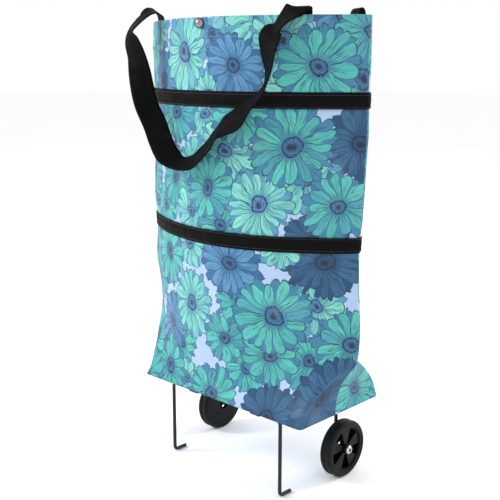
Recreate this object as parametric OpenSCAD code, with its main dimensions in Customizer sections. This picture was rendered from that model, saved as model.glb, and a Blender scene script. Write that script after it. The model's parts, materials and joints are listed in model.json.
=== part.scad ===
// Folding shopping trolley: a soft printed bag in three tiers, joined by a zip that runs
// right round it, on two wheels and a folding wire stand.
// Frame: +Z up, +Y to the back (wheel side), +X to the right seen from the front.
// The origin is on the ground, under the middle of the bag.

/* [Base] */
// Width of the bag's base, across the wheels
base_w = 300; // [240:5:380]
// Depth of the bag's base, front to back
base_d = 165; // [140:5:220]
// Height of the bag's underside above the ground
base_z = 113; // [105:1:140]
// How far the base stands to the right of the soft bag, which has settled to the left
base_shift = 11; // [0:1:15]
// Thickness of the stiff board that lies on the bag's floor
board_t = 3; // [2:0.5:6]
// Gap between the board's edge and the outside of the bag
board_inset = 5; // [4:1:12]

/* [Bag] */
// Width of the bag at its rim
rim_w = 388; // [300:4:460]
// Depth of the bag at its rim
rim_d = 194; // [150:4:240]
// Height of the lower tier, from the underside to the lower zip tape
lower_tier_h = 219; // [180:1:270]
// Height of the middle tier, which folds away between the two zip tapes
middle_tier_h = 159; // [120:1:200]
// Height of the upper tier, from the upper zip tape to the rim
upper_tier_h = 91; // [60:1:130]
// Thickness of the coated cloth with its lining
cloth_t = 2; // [1.2:0.1:3]
// Height over which the square corners of the base soften into the round bag
corner_soften = 30; // [20:1:45]

/* [Zip] */
// Width of each zip tape
tape_h = 19; // [14:1:28]
// How far a tape stands proud of the cloth
tape_proud = 0.8; // [0.4:0.1:1.5]
// Radius of the coil of teeth along each tape
coil_r = 1; // [0.8:0.1:1.5]
// Distance of the coil from the tape's meeting edge
coil_inset = 5; // [4.5:0.5:7]
// Length of the pull tab
pull_l = 24; // [16:1:32]

/* [Handles] */
// Width of the webbing
webbing_w = 32; // [20:1:36]
// Thickness of the webbing
webbing_t = 2.5; // [1.5:0.1:3.5]
// Distance between the two ends of one handle, centre to centre
handle_span = 256; // [180:4:280]
// How far a hanging handle reaches below the rim
handle_drop = 190; // [130:5:240]
// Length of webbing sewn to the inside of the bag at each end
sewn_l = 42; // [25:1:60]

/* [Snap] */
// Diameter of the snap's caps
snap_d = 13; // [10:0.5:16]
// Distance of the snap's centre below the rim
snap_drop = 9; // [8:1:30]
// Distance of the snap to the right of the bag's middle
snap_x = -7; // [-20:1:20]

/* [Wheels] */
// Outer diameter of the tyre
wheel_d = 80; // [60:1:84]
// Width of the tyre
wheel_w = 18.3; // [14:0.1:24]
// Thickness of the tyre, from its seat on the hub to the tread
tyre_t = 6; // [4:0.5:8]
// Distance of the axle behind the middle of the base
axle_y = 43; // [30:1:52]
// Distance between the struts of the wheel frame, centre to centre
strut_span = 218.8; // [200:0.2:240]
// Number of spokes
spokes = 5; // [3:1:8]

/* [Wire] */
// Diameter of the steel wire of both frames
wire_d = 5; // [4:0.5:5]
// Radius of the wire's bends, to its centre line
bend_r = 6; // [4:0.5:8]
// Distance of the stand's hinge in front of the middle of the base
stand_y = 68; // [58:1:70]
// Distance between the legs of the stand, centre to centre
leg_span = 208; // [180:1:210]
// Length of each foot, from the middle of its leg to the tip
foot_l = 21; // [14:1:24]
// Distance between the two clips of each frame
clip_span = 120; // [90:5:150]

/* [Hidden] */

fine = 96;
small = 48;
// Points around each ring of the bag, and rings per tier
ring_n = 72;
lower_rings = 14;
middle_rings = 4;
upper_rings = 3;

// Clearances
run_gap = 0.06;
face_gap = 0.3;
sewn_gap = 1;
rivet_gap = 0.1;

// Heights of the bag's seams
lower_top = base_z + lower_tier_h;
lower_tape_top = lower_top + tape_h;
middle_top = lower_tape_top + middle_tier_h;
upper_tape_top = middle_top + tape_h;
rim_z = upper_tape_top + upper_tier_h;

// The section is a rectangle at the base and a pointed oval from the lower tape up
spread_power = 2.2;
square_power = 12;
oval_side_power = 2.05;
oval_front_power = 1.15;

function power(v, e) = sign(v) * pow(abs(v), e);
function fade(z) = exp(-(z - base_z) / corner_soften);
function spread(z) = 1 - pow(max(0, 1 - (z - base_z) / (rim_z - base_z)), spread_power);
function half_w(z) = (base_w + (rim_w - base_w) * spread(z)) / 2;
function half_d(z) = (base_d + (rim_d - base_d) * spread(z)) / 2;
function side_power(z) = oval_side_power + square_power * fade(z);
function front_power(z) = oval_front_power + square_power * fade(z);
function centre_x(z) = base_shift * fade(z);

// A point of the bag's wall at height z and turn a, moved outward by grow
function wall_point(z, a, grow) = [
    centre_x(z) + (half_w(z) + grow) * power(cos(a), 2 / side_power(z)),
    (half_d(z) + grow) * power(sin(a), 2 / front_power(z)),
    z
];
function ring(z, grow) = [for (i = [0:ring_n - 1]) wall_point(z, 360 * i / ring_n, grow)];
function steps(low, high, n) = [for (i = [0:n]) low + (high - low) * i / n];

// How far the wall stands from the bag's middle plane at x, at height z
function depth_at(x, z, grow) = (half_d(z) + grow) * pow(
    1 - pow(abs(x) / (half_w(z) + grow), side_power(z)), 1 / front_power(z));

// Mechanism
base_x = base_shift;
wire_r = wire_d / 2;
hinge_z = base_z - wire_r - 2.5;
axle_z = wheel_d / 2;
floor_t = 1.2;
board_corner_r = 16;
board_top = base_z + floor_t + board_t;
clip_l = 14;
clip_wall = 2;
flange_l = 30;
flange_d = 16;
flange_t = 2.2;
rivet_r = 1.9;
rivet_head_r = 3.8;
rivet_head_h = 1.5;
rivet_out = 10;
rivet_half = 9;

// Wheels
hub_r = wheel_d / 2 - tyre_t;
lip_w = 3;
spoke_drop = 2.6;
pocket_depth = 9;
pocket_turn = 34;
boss_r = 6.5;
hub_back_r = 9;
hub_back_depth = bend_r + 1;
rib_r = wheel_w / 4 - 0.15;
groove_depth = 1.6;
wheel_in = strut_span / 2 + wire_r + 0.4;
nut_r = 6;
nut_h = 4.5;
nut_dome = 1.5;
stub_end = wheel_in + wheel_w + nut_h - nut_dome - 0.2;

// Handles
handle_hinge_z = rim_z + 6;
handle_y = rim_d / 2 + 9;
handle_corner_r = 12;
handle_top_z = handle_hinge_z + 0.75 + webbing_t / 2;
handle_low_z = rim_z - handle_drop;
loop_r = 60;
end_x = handle_span / 2;
end_y = depth_at(end_x, rim_z, -cloth_t);
end_turn = atan2(
    depth_at(end_x - webbing_w / 2, rim_z, -cloth_t) -
    depth_at(end_x + webbing_w / 2, rim_z, -cloth_t), webbing_w);
handle_hinge_y = depth_at(end_x, rim_z, -cloth_t / 2);

// Zip slider, at the middle of the back of the lower tape
slider_z = lower_tape_top - coil_inset;
slider_y = depth_at(0, slider_z, tape_proud);
slider_w = 10;
slider_h = 9;
slider_d = 5.2;
pin_r = 0.8;
pull_eye_r = 2.2;
pull_w = 5;
pull_t = 1.6;
pin_y = slider_y + slider_d + pull_eye_r + 0.4;
ear_t = 1.2;
ear_x = pull_w / 2 + 0.5;
box_x = 16;

module sleeve(levels, outer, inner) {
    rings = len(levels);
    points = concat(
        [for (z = levels) each ring(z, outer)],
        [for (z = levels) each ring(z, inner)]
    );
    shift = rings * ring_n;
    top = (rings - 1) * ring_n;
    sides = [for (k = [0:rings - 2], i = [0:ring_n - 1])
        let (j = (i + 1) % ring_n, p = k * ring_n, q = p + ring_n)
        each [
            [p + i, q + i, q + j], [p + i, q + j, p + j],
            [shift + p + i, shift + q + j, shift + q + i],
            [shift + p + i, shift + p + j, shift + q + j]
        ]];
    ends = [for (i = [0:ring_n - 1])
        let (j = (i + 1) % ring_n)
        each [
            [i, j, shift + j], [i, shift + j, shift + i],
            [top + i, shift + top + j, top + j],
            [top + i, shift + top + i, shift + top + j]
        ]];
    polyhedron(points, concat(sides, ends), convexity = 6);
}

// A bead along the outside of the ring at height z, standing clear of a tape
module bead(z, r) {
    sides = 6;
    path = ring(z, tape_proud);
    points = [for (i = [0:ring_n - 1])
        let (
            way = path[(i + 1) % ring_n] - path[(i + ring_n - 1) % ring_n],
            out = [way[1], -way[0], 0] / norm(way)
        )
        for (k = [0:sides - 1])
        path[i] + out * (r + 0.15 + r * cos(360 * k / sides)) + [0, 0, r * sin(360 * k / sides)]];
    faces = [for (i = [0:ring_n - 1], k = [0:sides - 1])
        let (
            j = (i + 1) % ring_n, m = (k + 1) % sides,
            p = i * sides, q = j * sides
        )
        each [[p + k, p + m, q + m], [p + k, q + m, q + k]]];
    polyhedron(points, faces, convexity = 6);
}

// Soft parts of the lower body
module lower_tier() {
    color("mediumaquamarine")
    sleeve(steps(base_z + floor_t, lower_top, lower_rings), 0, -cloth_t);
}

module floor_outline(inset) {
    polygon([for (p = ring(base_z, -inset)) [p[0], p[1]]]);
}

module rivet_places(r) {
    for (side = [-1, 1], dx = [-rivet_half, rivet_half]) {
        x = base_x + side * clip_span / 2 + dx;
        translate([x, axle_y - rivet_out]) circle(r, $fn = small);
        translate([x, -stand_y + rivet_out]) circle(r, $fn = small);
    }
}

module bottom_panel() {
    color("steelblue")
    translate([0, 0, base_z])
    linear_extrude(floor_t)
    difference() {
        floor_outline(0);
        rivet_places(rivet_r + rivet_gap);
    }
}

module base_board() {
    w = base_w - 2 * board_inset;
    d = base_d - 2 * board_inset;
    r = board_corner_r;
    color("dimgray")
    translate([0, 0, base_z + floor_t])
    difference() {
        linear_extrude(board_t)
        difference() {
            translate([base_x, 0]) {
                square([w - 2 * r, d], center = true);
                square([w, d - 2 * r], center = true);
                for (sx = [-1, 1], sy = [-1, 1])
                    translate([sx * (w / 2 - r), sy * (d / 2 - r)]) circle(r, $fn = small);
            }
            rivet_places(rivet_r + rivet_gap);
        }
        // The rivet heads lie flush in the board
        translate([0, 0, board_t - rivet_head_h])
            linear_extrude(board_t) rivet_places(rivet_head_r + rivet_gap);
    }
}

module lower_zip_tape() {
    color("black")
    sleeve([lower_top, lower_tape_top], tape_proud, -cloth_t);
}

module lower_zip_coil() {
    color("dimgray") bead(lower_tape_top - coil_inset, coil_r);
}

module middle_tier() {
    color("cadetblue")
    sleeve(steps(lower_tape_top, middle_top, middle_rings), 0, -cloth_t);
}

// Soft parts of the upper body
module upper_tier() {
    hole_r = 1.6;
    color("mediumaquamarine")
    difference() {
        sleeve(steps(upper_tape_top, rim_z, upper_rings), 0, -cloth_t);
        translate([snap_x, 0, rim_z - snap_drop])
            rotate([90, 0, 0])
            cylinder(r = hole_r, h = 2 * rim_d, center = true, $fn = small);
    }
}

module upper_zip_tape() {
    color("black")
    sleeve([middle_top, upper_tape_top], tape_proud, -cloth_t);
}

module upper_zip_coil() {
    color("dimgray") bead(middle_top + coil_inset, coil_r);
}

// Zip fittings at the back
module zip_slider() {
    color("silver")
    translate([0, 0, slider_z]) {
        difference() {
            translate([-slider_w / 2, slider_y + face_gap, -slider_h / 2])
                cube([slider_w, slider_d - face_gap, slider_h]);
            translate([-slider_w, slider_y, -coil_r - 0.4])
                cube([2 * slider_w, 2 * coil_r + 0.6, 2 * coil_r + 0.8]);
        }
        for (side = [-1, 1])
            translate([side * (ear_x + ear_t / 2), slider_y + slider_d, 0]) {
                translate([-ear_t / 2, -0.5, -2]) cube([ear_t, pin_y - slider_y - slider_d + 0.5, 4]);
                translate([0, pin_y - slider_y - slider_d, 0])
                    rotate([0, 90, 0])
                    cylinder(r = 2, h = ear_t, center = true, $fn = small);
            }
        translate([0, pin_y, 0])
            rotate([0, 90, 0])
            cylinder(r = pin_r, h = 2 * ear_x + ear_t, center = true, $fn = small);
    }
}

module zip_pull() {
    tab_r = pull_w / 2;
    color("black")
    translate([0, pin_y, slider_z])
    difference() {
        union() {
            rotate([0, 90, 0])
                cylinder(r = pull_eye_r, h = pull_w, center = true, $fn = small);
            translate([-tab_r, -pull_t / 2, -pull_l + tab_r])
                cube([pull_w, pull_t, pull_l - tab_r]);
            translate([0, 0, -pull_l + tab_r])
                rotate([90, 0, 0])
                cylinder(r = tab_r, h = pull_t, center = true, $fn = small);
        }
        rotate([0, 90, 0])
            cylinder(r = pin_r + run_gap, h = 2 * pull_w, center = true, $fn = small);
    }
}

module zip_end_box() {
    color("dimgray")
    translate([box_x, 0, slider_z])
    difference() {
        translate([-4, depth_at(box_x, slider_z, tape_proud) + 0.6, -4])
            cube([8, 4, 8]);
        translate([-8, slider_y - 1, -coil_r - 0.4])
            cube([16, 2 * coil_r + 1.8, 2 * coil_r + 0.8]);
    }
}

// Webbing handles
module loop_outline() {
    reach = end_x + webbing_w / 2;
    inner_r = loop_r - webbing_w;
    top = handle_top_z - handle_corner_r;
    difference() {
        union() {
            translate([-reach, handle_low_z + loop_r]) square([2 * reach, top - handle_low_z - loop_r]);
            translate([-reach + loop_r, handle_low_z]) square([2 * (reach - loop_r), loop_r + 1]);
            for (side = [-1, 1])
                translate([side * (reach - loop_r), handle_low_z + loop_r]) circle(loop_r, $fn = fine);
        }
        translate([-reach + webbing_w, handle_low_z + loop_r])
            square([2 * (reach - webbing_w), top - handle_low_z]);
        translate([-reach + loop_r, handle_low_z + webbing_w])
            square([2 * (reach - loop_r), loop_r]);
        for (side = [-1, 1])
            translate([side * (reach - loop_r), handle_low_z + loop_r]) circle(inner_r, $fn = fine);
    }
}

module handle() {
    half_t = webbing_t / 2;
    r = handle_corner_r;
    translate([0, -handle_y + half_t, 0]) rotate([90, 0, 0]) linear_extrude(webbing_t) loop_outline();
    for (side = [-1, 1])
        translate([side * end_x - webbing_w / 2, 0, 0])
        rotate([90, 0, 90])
        linear_extrude(webbing_w) {
            translate([-handle_y + r, handle_top_z - r])
            intersection() {
                difference() {
                    circle(r + half_t, $fn = fine);
                    circle(r - half_t, $fn = fine);
                }
                translate([-2 * r, 0]) square(2 * r);
            }
            translate([-handle_y + r, handle_top_z - half_t])
                square([handle_y - r - handle_hinge_y + half_t, webbing_t]);
        }
}

module handle_ends() {
    top = rim_z + 2;
    for (side = [-1, 1])
        translate([side * end_x, -end_y, 0])
        rotate([0, 0, side * end_turn])
        translate([-webbing_w / 2, sewn_gap, rim_z - sewn_l])
        cube([webbing_w, webbing_t, top - rim_z + sewn_l]);
}

module front_handle() {
    color("black") handle();
}

module back_handle() {
    color("black") mirror([0, 1, 0]) handle();
}

module front_handle_ends() {
    color("black") handle_ends();
}

module back_handle_ends() {
    color("black") mirror([0, 1, 0]) handle_ends();
}

// Snap: a cap and socket through the front panel, a cap and stud through the back one
snap_z = rim_z - snap_drop;
snap_out = half_d(snap_z);
snap_in = depth_at(abs(snap_x) + snap_d / 2, snap_z, -cloth_t) - face_gap;
shank_r = 1.5;

module snap_disc(y, r, h) {
    translate([snap_x, y, snap_z]) rotate([90, 0, 0]) cylinder(r = r, h = h, $fn = small);
}

module snap_dome() {
    dome_r = snap_d * 0.85;
    rim_h = 0.8;
    rise = 2;
    color("silver") {
        snap_disc(-snap_out - 0.05, snap_d / 2, rim_h);
        intersection() {
            translate([snap_x, -snap_out - 0.05 - rim_h + dome_r - rise, snap_z])
                sphere(dome_r, $fn = small);
            snap_disc(-snap_out - 0.05 - rim_h, snap_d / 2 - 1, rise);
        }
        translate([0, snap_out - snap_in, 0]) snap_disc(-snap_out, shank_r, snap_out - snap_in + 0.05);
    }
}

module snap_cap() {
    snap_dome();
}

module snap_stud_cap() {
    mirror([0, 1, 0]) snap_dome();
}

module snap_socket() {
    wall = 1;
    h = 2.4;
    color("silver")
    difference() {
        snap_disc(-snap_in + h, snap_d / 2 - 1, h);
        snap_disc(-snap_in + h + 1, snap_d / 2 - 1 - 2 * wall, h);
    }
}

module snap_stud() {
    h = 1;
    color("silver")
    mirror([0, 1, 0]) {
        snap_disc(-snap_in + h, snap_d / 2 - 1, h);
        snap_disc(-snap_in + h + 2, snap_d / 2 - 3.5, 2.2);
    }
}

// Clips that hold the two wire frames under the base
module clip(y, toward) {
    bore_r = wire_r + run_gap;
    block_d = wire_d + 2 * clip_wall;
    for (side = [-1, 1])
        translate([base_x + side * clip_span / 2, y, 0])
        difference() {
            union() {
                translate([-clip_l / 2, -block_d / 2, hinge_z])
                    cube([clip_l, block_d, base_z - hinge_z]);
                translate([0, 0, hinge_z])
                    rotate([0, 90, 0])
                    cylinder(r = block_d / 2, h = clip_l, center = true, $fn = fine);
                translate([-flange_l / 2, toward > 0 ? 0 : -flange_d, base_z - flange_t])
                    cube([flange_l, flange_d, flange_t]);
            }
            translate([0, 0, hinge_z])
                rotate([0, 90, 0])
                cylinder(r = bore_r, h = 2 * flange_l, center = true, $fn = fine);
            for (dx = [-rivet_half, rivet_half])
                translate([dx, toward * rivet_out, base_z - 2 * flange_t])
                    cylinder(r = rivet_r + rivet_gap, h = 3 * flange_t, $fn = small);
        }
}

module wheel_frame_clips() {
    color("dimgray") clip(axle_y, -1);
}

module stand_clips() {
    color("dimgray") clip(-stand_y, 1);
}

module clip_rivets() {
    color("silver") {
        translate([0, 0, base_z - flange_t - rivet_head_h])
            linear_extrude(rivet_head_h) rivet_places(rivet_head_r);
        translate([0, 0, base_z - flange_t])
            linear_extrude(board_top - base_z + flange_t) rivet_places(rivet_r);
        translate([0, 0, board_top - rivet_head_h])
            linear_extrude(rivet_head_h) rivet_places(rivet_head_r);
    }
}

// Wire frames, each one bent wire; the pieces of half of it are drawn and mirrored
module wire_x(from, to, y, z) {
    translate([from, y, z]) rotate([0, 90, 0]) cylinder(r = wire_r, h = to - from, $fn = small);
}

module wire_z(x, y, low, high) {
    translate([x, y, low]) cylinder(r = wire_r, h = high - low, $fn = small);
}

module bend() {
    rotate_extrude(angle = 90, $fn = fine) translate([bend_r, 0]) circle(wire_r, $fn = small);
}

module both_sides() {
    translate([base_x, 0, 0]) children();
    translate([base_x, 0, 0]) mirror([1, 0, 0]) children();
}

module wheel_frame_wire() {
    x = strut_span / 2;
    color("black")
    both_sides() {
        wire_x(0, x - bend_r, axle_y, hinge_z);
        translate([x - bend_r, axle_y, hinge_z - bend_r]) rotate([90, 0, 0]) bend();
        wire_z(x, axle_y, axle_z + bend_r, hinge_z - bend_r);
        translate([x + bend_r, axle_y, axle_z + bend_r]) rotate([90, 180, 0]) bend();
        wire_x(x + bend_r, stub_end, axle_y, axle_z);
    }
}

module stand_wire() {
    x = leg_span / 2;
    color("black")
    both_sides() {
        wire_x(0, x - bend_r, -stand_y, hinge_z);
        translate([x - bend_r, -stand_y, hinge_z - bend_r]) rotate([90, 0, 0]) bend();
        wire_z(x, -stand_y, wire_r + bend_r, hinge_z - bend_r);
        translate([x, -stand_y + bend_r, wire_r + bend_r]) rotate([90, 180, 90]) bend();
        translate([x, -stand_y + bend_r, wire_r])
            rotate([-90, 0, 0])
            cylinder(r = wire_r, h = foot_l - bend_r, $fn = small);
    }
}

// Wheels, drawn along +Z with the outer face up, then laid along the axle
module place_wheel(side) {
    translate([base_x + side * wheel_in, axle_y, axle_z]) rotate([0, side * 90, 0]) children();
}

module pocket() {
    reach = hub_r;
    intersection() {
        difference() {
            circle(hub_r - lip_w - 2, $fn = fine);
            circle(boss_r + 0.8, $fn = small);
        }
        polygon([
            [0, 0],
            [reach * cos(pocket_turn / 2) * 1.2, reach * sin(pocket_turn / 2) * 1.2],
            [reach * cos(pocket_turn / 2) * 1.2, -reach * sin(pocket_turn / 2) * 1.2]
        ]);
    }
}

module hub() {
    difference() {
        cylinder(r = hub_r, h = wheel_w - 0.5, $fn = fine);
        translate([0, 0, wheel_w - 0.5 - spoke_drop])
            difference() {
                cylinder(r1 = hub_r - lip_w - 1, r2 = hub_r - lip_w, h = spoke_drop + 0.01, $fn = fine);
                cylinder(r = boss_r, h = spoke_drop + 0.01, $fn = small);
            }
        for (i = [0:spokes - 1])
            rotate([0, 0, 360 * i / spokes])
            translate([0, 0, wheel_w - 0.5 - spoke_drop - pocket_depth])
            linear_extrude(pocket_depth + 1)
            pocket();
        translate([0, 0, -1]) cylinder(r = hub_back_r, h = hub_back_depth + 1, $fn = fine);
        translate([0, 0, -1]) cylinder(r = wire_r + run_gap, h = wheel_w + 2, $fn = fine);
    }
}

module left_hub() {
    color("black") place_wheel(-1) hub();
}

module right_hub() {
    color("black") place_wheel(1) hub();
}

module tyre() {
    outer = wheel_d / 2;
    rotate_extrude($fn = fine)
    intersection() {
        union() {
            translate([hub_r, 0]) square([outer - rib_r - hub_r, wheel_w]);
            translate([hub_r, rib_r]) square([outer - groove_depth - hub_r, wheel_w - 2 * rib_r]);
            for (y = [rib_r, wheel_w - rib_r])
                translate([outer - rib_r, y]) circle(rib_r, $fn = small);
        }
        translate([hub_r, 0]) square([tyre_t, wheel_w]);
    }
}

module left_tyre() {
    color("black") place_wheel(-1) tyre();
}

module right_tyre() {
    color("black") place_wheel(1) tyre();
}

module push_nut() {
    translate([0, 0, wheel_w + 0.3])
    difference() {
        union() {
            cylinder(r = nut_r, h = nut_h - nut_dome, $fn = fine);
            translate([0, 0, nut_h - nut_dome]) cylinder(r1 = nut_r, r2 = nut_r - nut_dome, h = nut_dome, $fn = fine);
        }
        translate([0, 0, -1]) cylinder(r = wire_r, h = nut_h + 2, $fn = fine);
    }
}

module left_push_nut() {
    color("silver") place_wheel(-1) push_nut();
}

module right_push_nut() {
    color("silver") place_wheel(1) push_nut();
}

lower_tier();
bottom_panel();
base_board();
lower_zip_tape();
lower_zip_coil();
middle_tier();
upper_tier();
upper_zip_tape();
upper_zip_coil();
zip_slider();
zip_pull();
zip_end_box();
front_handle();
front_handle_ends();
back_handle();
back_handle_ends();
snap_cap();
snap_socket();
snap_stud_cap();
snap_stud();
wheel_frame_clips();
stand_clips();
clip_rivets();
wheel_frame_wire();
stand_wire();
left_hub();
right_hub();
left_tyre();
right_tyre();
left_push_nut();
right_push_nut();
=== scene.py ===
import json
import math

import bpy
import numpy as np
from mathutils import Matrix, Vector


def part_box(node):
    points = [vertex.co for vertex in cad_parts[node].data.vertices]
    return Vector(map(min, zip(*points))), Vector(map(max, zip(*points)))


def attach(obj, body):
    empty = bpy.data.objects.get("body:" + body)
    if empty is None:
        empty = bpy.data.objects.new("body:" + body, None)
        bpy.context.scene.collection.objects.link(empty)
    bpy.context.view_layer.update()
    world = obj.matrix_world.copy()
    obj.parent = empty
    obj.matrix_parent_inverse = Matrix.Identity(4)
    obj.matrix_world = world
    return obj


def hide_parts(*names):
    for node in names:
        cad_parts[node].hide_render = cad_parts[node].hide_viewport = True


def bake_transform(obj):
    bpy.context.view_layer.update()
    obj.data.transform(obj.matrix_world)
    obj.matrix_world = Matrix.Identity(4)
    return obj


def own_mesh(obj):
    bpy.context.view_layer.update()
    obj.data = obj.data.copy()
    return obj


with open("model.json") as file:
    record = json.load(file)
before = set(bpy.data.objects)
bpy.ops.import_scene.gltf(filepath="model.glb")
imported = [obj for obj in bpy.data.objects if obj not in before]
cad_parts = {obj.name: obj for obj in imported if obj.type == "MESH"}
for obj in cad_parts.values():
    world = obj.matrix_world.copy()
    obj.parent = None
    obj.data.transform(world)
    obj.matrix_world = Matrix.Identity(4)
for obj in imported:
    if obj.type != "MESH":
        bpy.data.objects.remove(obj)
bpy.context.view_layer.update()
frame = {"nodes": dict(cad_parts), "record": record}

MM = 0.001
TAU = 2 * math.pi


# ---------- camera, light and floor ----------
def place_camera():
    """The photo's camera. Its numbers are one solution of a scratch camera fit to corners picked in the photo."""
    data = bpy.data.cameras.new("camera")
    data.lens, data.sensor_width = 63.04, 36
    cam = bpy.data.objects.new("camera", data)
    cam.location = (0.8228, -0.8696, 0.5634)
    cam.rotation_euler = (math.pi / 2 - 0.2099, -0.0011, 0.7607)
    bpy.context.scene.collection.objects.link(cam)
    bpy.context.scene.camera = cam


def area_light(name, where, aim, size, power, tint=(1, 1, 1)):
    data = bpy.data.lights.new(name, "AREA")
    data.shape, data.size, data.energy, data.color = "DISK", size, power, tint
    lamp = bpy.data.objects.new(name, data)
    lamp.location = where
    way = np.array(aim, float) - np.array(where, float)
    lamp.rotation_euler = Vector(way).to_track_quat("-Z", "Y").to_euler()
    bpy.context.scene.collection.objects.link(lamp)


# ---------- small node language ----------
def rgb(r, g, b):
    def lin(c):
        c /= 255
        return c / 12.92 if c <= 0.04045 else ((c + 0.055) / 1.055) ** 2.4
    return (lin(r), lin(g), lin(b), 1.0)


class Nodes:
    def __init__(self, tree):
        self.tree = tree

    def add(self, kind, inputs=None, **props):
        n = self.tree.nodes.new(kind)
        for k, v in props.items():
            setattr(n, k, v)
        for k, v in (inputs or {}).items():
            if isinstance(v, bpy.types.NodeSocket):
                self.tree.links.new(v, n.inputs[k])
            else:
                n.inputs[k].default_value = v
        return n

    def math(self, op, a, b=0.0, c=0.0, clamp=False):
        return self.add("ShaderNodeMath", {0: a, 1: b, 2: c}, operation=op, use_clamp=clamp).outputs[0]

    def step(self, value, low, high, to_low=0.0, to_high=1.0):
        return self.add("ShaderNodeMapRange",
                        {"Value": value, "From Min": low, "From Max": high, "To Min": to_low, "To Max": to_high},
                        interpolation_type="SMOOTHSTEP").outputs["Result"]

    def mix(self, factor, a, b, how="MIX"):
        return self.add("ShaderNodeMix", {0: factor, 6: a, 7: b}, data_type="RGBA", blend_type=how).outputs[2]

    def noise(self, vector, scale, detail=2.0, rough=0.5, warp=0.0, out=0):
        return self.add("ShaderNodeTexNoise",
                        {"Vector": vector, "Scale": scale, "Detail": detail, "Roughness": rough,
                         "Distortion": warp}).outputs[out]

    def split(self, vector):
        n = self.add("ShaderNodeSeparateXYZ", {0: vector})
        return n.outputs[0], n.outputs[1], n.outputs[2]

    def join(self, x, y, z=0.0):
        return self.add("ShaderNodeCombineXYZ", {0: x, 1: y, 2: z}).outputs[0]

    def vmath(self, op, a, b=(0, 0, 0), scale=1.0):
        n = self.add("ShaderNodeVectorMath", {0: a, 1: b}, operation=op)
        if op == "SCALE":
            if isinstance(scale, bpy.types.NodeSocket):
                self.tree.links.new(scale, n.inputs["Scale"])
            else:
                n.inputs["Scale"].default_value = scale
        return n.outputs["Value" if op in ("LENGTH", "DOT_PRODUCT", "DISTANCE") else "Vector"]


def material(name, build):
    """A node material; build(nodes, shader) makes its nodes and sets the shader's inputs."""
    m = bpy.data.materials.new(name)
    m.use_nodes = True
    m.node_tree.nodes.clear()
    n = Nodes(m.node_tree)
    shader = n.add("ShaderNodeBsdfPrincipled")
    n.add("ShaderNodeOutputMaterial", {"Surface": shader.outputs[0]})
    build(n, shader)
    return m


def set_in(n, shader, **values):
    names = {"color": "Base Color", "rough": "Roughness", "metal": "Metallic", "spec": "Specular IOR Level",
             "coat": "Coat Weight",
             "coat_rough": "Coat Roughness", "sheen": "Sheen Weight", "normal": "Normal"}
    for k, v in values.items():
        s = shader.inputs[names[k]]
        if isinstance(v, bpy.types.NodeSocket):
            n.tree.links.new(v, s)
        else:
            s.default_value = v


def bump(n, height, strength, distance=0.001, under=None):
    inputs = {"Height": height, "Strength": strength, "Distance": distance}
    if under is not None:
        inputs["Normal"] = under
    return n.add("ShaderNodeBump", inputs).outputs[0]


# ---------- mesh helpers ----------
def make(name, verts, faces, mats, face_mats=None, uvs=None, smooth=True):
    """A mesh object in metres; uvs is one pair per face corner."""
    mesh = bpy.data.meshes.new(name)
    mesh.from_pydata(np.asarray(verts, float).tolist(), [], [tuple(int(i) for i in f) for f in faces])
    for m in mats:
        mesh.materials.append(m)
    if face_mats is not None:
        mesh.polygons.foreach_set("material_index", np.asarray(face_mats, np.int32))
    if uvs is not None:
        mesh.uv_layers.new(name="flat").data.foreach_set("uv", np.asarray(uvs, np.float32).ravel())
    if smooth:
        mesh.polygons.foreach_set("use_smooth", np.ones(len(mesh.polygons), bool))
    mesh.update()
    o = bpy.data.objects.new(name, mesh)
    bpy.context.scene.collection.objects.link(o)
    return o


def waves(points, wavelength, seed, count=20):
    """Smooth noise from -1 to 1 or so at points in metres."""
    r = np.random.default_rng(seed)
    way = r.normal(size=(count, 3))
    way /= np.linalg.norm(way, axis=1)[:, None]
    k = TAU / (wavelength * r.uniform(0.7, 1.5, count))
    phase = r.uniform(0, TAU, count)
    return np.cos(points @ (way * k[:, None]).T + phase).sum(1) / math.sqrt(count)


# ---------- the bag's wall ----------
BASE_LOW, BASE_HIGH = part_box("bottom_panel")
BASE_Z = BASE_LOW.z
LOWER_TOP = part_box("lower_zip_tape")[0].z
LOWER_TAPE_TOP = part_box("lower_zip_tape")[1].z
MIDDLE_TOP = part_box("upper_zip_tape")[0].z
UPPER_TAPE_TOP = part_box("upper_zip_tape")[1].z
RIM_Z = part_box("upper_tier")[1].z
HALF_BASE_W, SHIFT = (BASE_HIGH.x - BASE_LOW.x) / 2, (BASE_HIGH.x + BASE_LOW.x) / 2
HALF_BASE_D = (BASE_HIGH.y - BASE_LOW.y) / 2
HALF_RIM_W, HALF_RIM_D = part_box("upper_tier")[1].x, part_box("upper_tier")[1].y
CLOTH = 1.7 * MM
M = 150  # columns on the front, and as many on the back

# The folds flare above the base, the left one draws in at a waist, and the left end swings forward
FLARE_Z, LEFT_FLARE, RIGHT_FLARE, FLARE_TALL = 0.145, 0.13, 0.14, 0.055
RIGHT_FLARE_Z, RIGHT_FLARE_TALL = 0.185, 0.100
WAIST_Z, WAIST, WAIST_TALL, LEFT_SLACK = 0.34, 0.04, 0.045, 0.04
SWING, SWING_MORE, SWING_Z, SWING_TALL = 0.009, 0.017, 0.32, 0.12


def bell(z, at, tall):
    return math.exp(-((z - at) / tall) ** 2)


def lean(z):
    """Shares by which the left and right ends stand out at height z, and how far the left end swings in y."""
    slack = LEFT_SLACK * min(1.0, max(0.0, (z - FLARE_Z) / (WAIST_Z - FLARE_Z)))
    foot = min(1.0, (z - BASE_Z) / (FLARE_Z - BASE_Z) * 1.5) if z > BASE_Z else 0.0
    left = 1 + foot * LEFT_FLARE * bell(z, FLARE_Z, FLARE_TALL) - WAIST * bell(z, WAIST_Z, WAIST_TALL) - slack
    right = 1 + foot * RIGHT_FLARE * bell(z, RIGHT_FLARE_Z, RIGHT_FLARE_TALL)
    return left, right, -SWING - SWING_MORE * bell(z, SWING_Z, SWING_TALL), 0.0


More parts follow.
